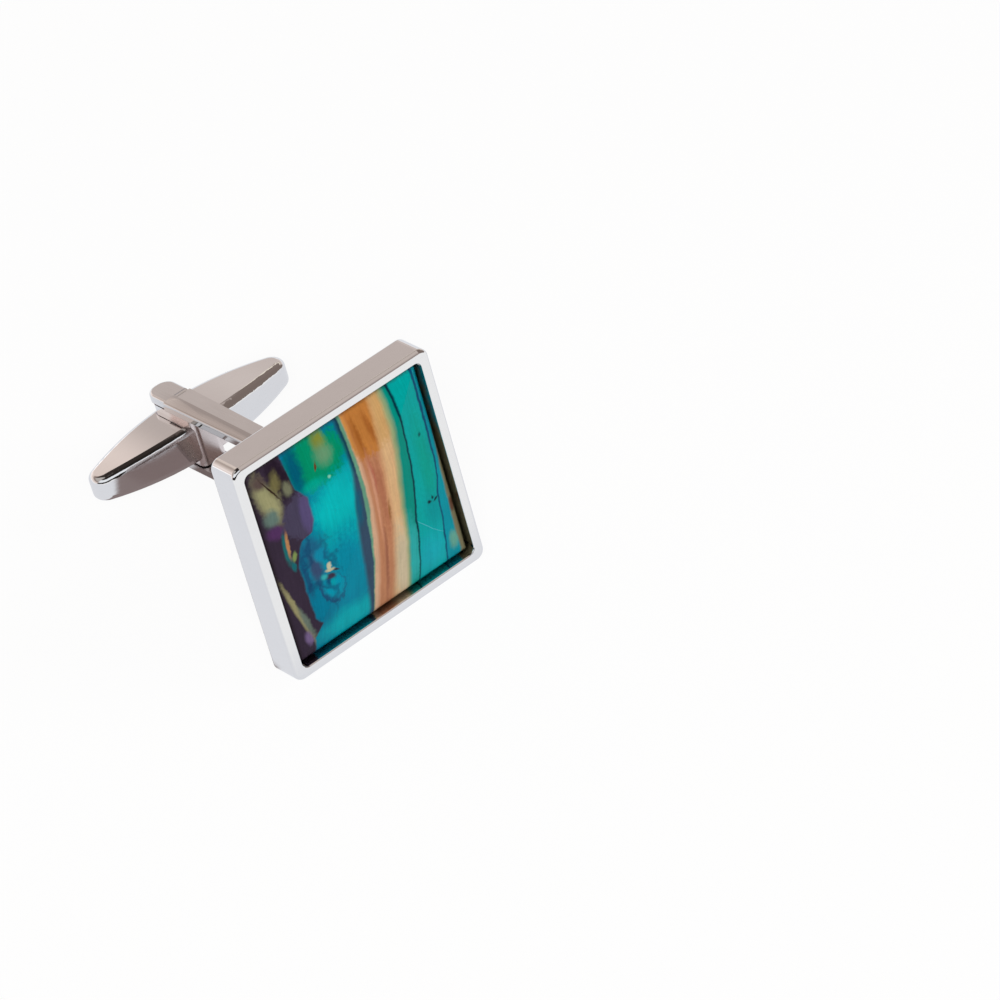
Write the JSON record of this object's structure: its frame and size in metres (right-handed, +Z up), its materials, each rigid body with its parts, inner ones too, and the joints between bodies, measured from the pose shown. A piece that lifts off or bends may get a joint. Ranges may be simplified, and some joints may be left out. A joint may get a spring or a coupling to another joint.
{
  "type": "cufflink",
  "caption": "Square cufflink with a domed banded inlay in a bright metal tray and a forked post that carries a swinging torpedo-shaped bar.",
  "frame": {"origin": "middle of the box that the resting cufflink fills, on the surface that it lies on", "axes": "+Z up from the surface, -Y the way the inlaid face looks, +X to the right of someone who faces the inlay"},
  "size_m": [0.0172, 0.025, 0.0174],
  "materials": {
    "plated_metal": "polished plating",
    "banded_inlay": "polished resin-bound dyed stems",
    "cement": "cured cement",
    "solder": "dull solder"
  },
  "bodies": {
    "base": {"bezel": "plated_metal", "inlay": "banded_inlay", "cement_bed": "cement", "post_yoke": "plated_metal", "solder_ring": "solder", "pivot_pin": "plated_metal"},
    "toggle": {"toggle_bar": "plated_metal"}
  },
  "joints": [
    {"name": "toggle_swing", "type": "hinge", "parent": "base", "child": "toggle", "pos_m": [0, 0.00892, 0.00333], "axis": [0, 0.2908, 0.9568], "range_deg": [-90, 90]}
  ]
}
